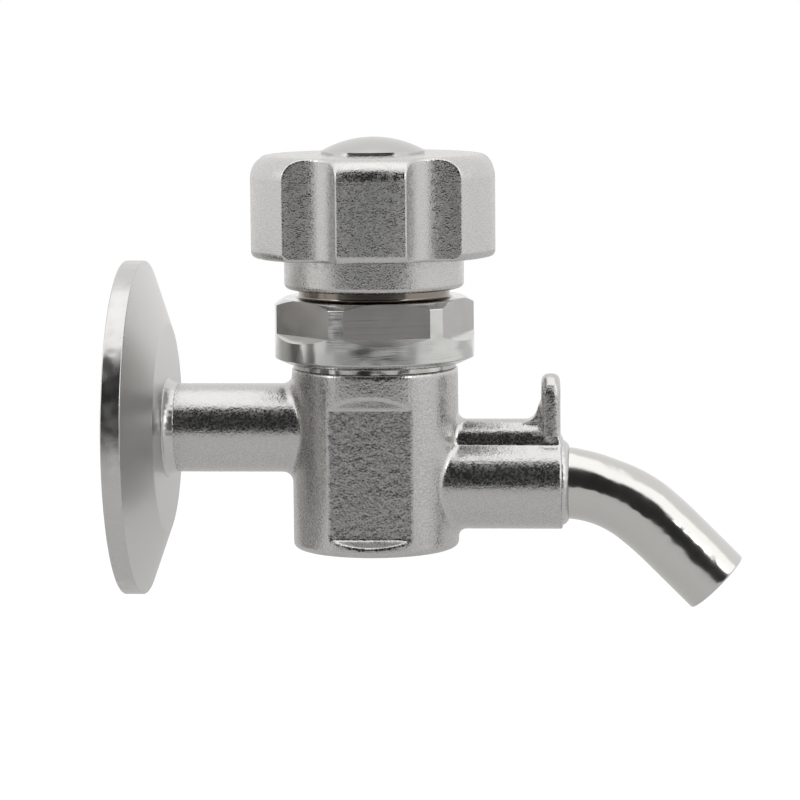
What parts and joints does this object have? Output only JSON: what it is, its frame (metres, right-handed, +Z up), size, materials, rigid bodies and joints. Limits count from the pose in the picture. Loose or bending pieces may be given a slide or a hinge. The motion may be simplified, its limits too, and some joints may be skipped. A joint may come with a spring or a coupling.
{
  "type": "sanitary sampling valve",
  "caption": "Stainless sampling valve: clamp ferrule inlet, cast body, milled bonnet, scalloped rising knob and a bent spout.",
  "frame": {"origin": "centre of the clamp ferrule's sealing face, on the inlet bore's axis", "axes": "+X along the inlet, from the ferrule towards the spout; +Z up along the stem, towards the knob; -Y is the side the front wrench flat faces"},
  "size_m": [0.0928, 0.0506, 0.0708],
  "materials": {
    "polished_steel": "polished",
    "turned_steel": "fine turned",
    "cast_steel": "blasted casting",
    "blasted_steel": "fine blasted",
    "bush_bronze": "turned",
    "seal_rubber": "smooth",
    "seal_plastic": "smooth"
  },
  "bodies": {
    "valve": {"clamp_ferrule": "polished_steel", "inlet_weld": "turned_steel", "valve_body": "cast_steel", "spout_tube": "polished_steel", "spout_weld": "turned_steel", "bonnet_gasket": "polished_steel", "bonnet": "turned_steel", "screw_bush": "bush_bronze", "stem_ring_lower": "seal_rubber", "stem_ring_upper": "seal_rubber"},
    "riser": {"plug": "turned_steel", "seal_disc": "seal_plastic", "seal_washer": "turned_steel", "seal_screw": "turned_steel"},
    "handwheel": {"stem": "polished_steel", "knob": "blasted_steel", "flat_washer": "turned_steel", "spring_washer": "turned_steel", "knob_screw": "turned_steel", "knob_cap": "blasted_steel", "cap_ring": "seal_rubber"}
  },
  "joints": [
    {"name": "stem_rise", "type": "slide", "parent": "valve", "child": "riser", "axis": [0, 0, 1], "range_m": [0, 0.005]},
    {"name": "knob_turn", "type": "hinge", "parent": "riser", "child": "handwheel", "pos_m": [0.0378, 0, 0.033], "axis": [0, 0, 1], "range_deg": [0, 900]}
  ],
  "couplings": [
    {"joint": "knob_turn", "follows": "stem_rise", "rad_per_m": 3141.5}
  ]
}
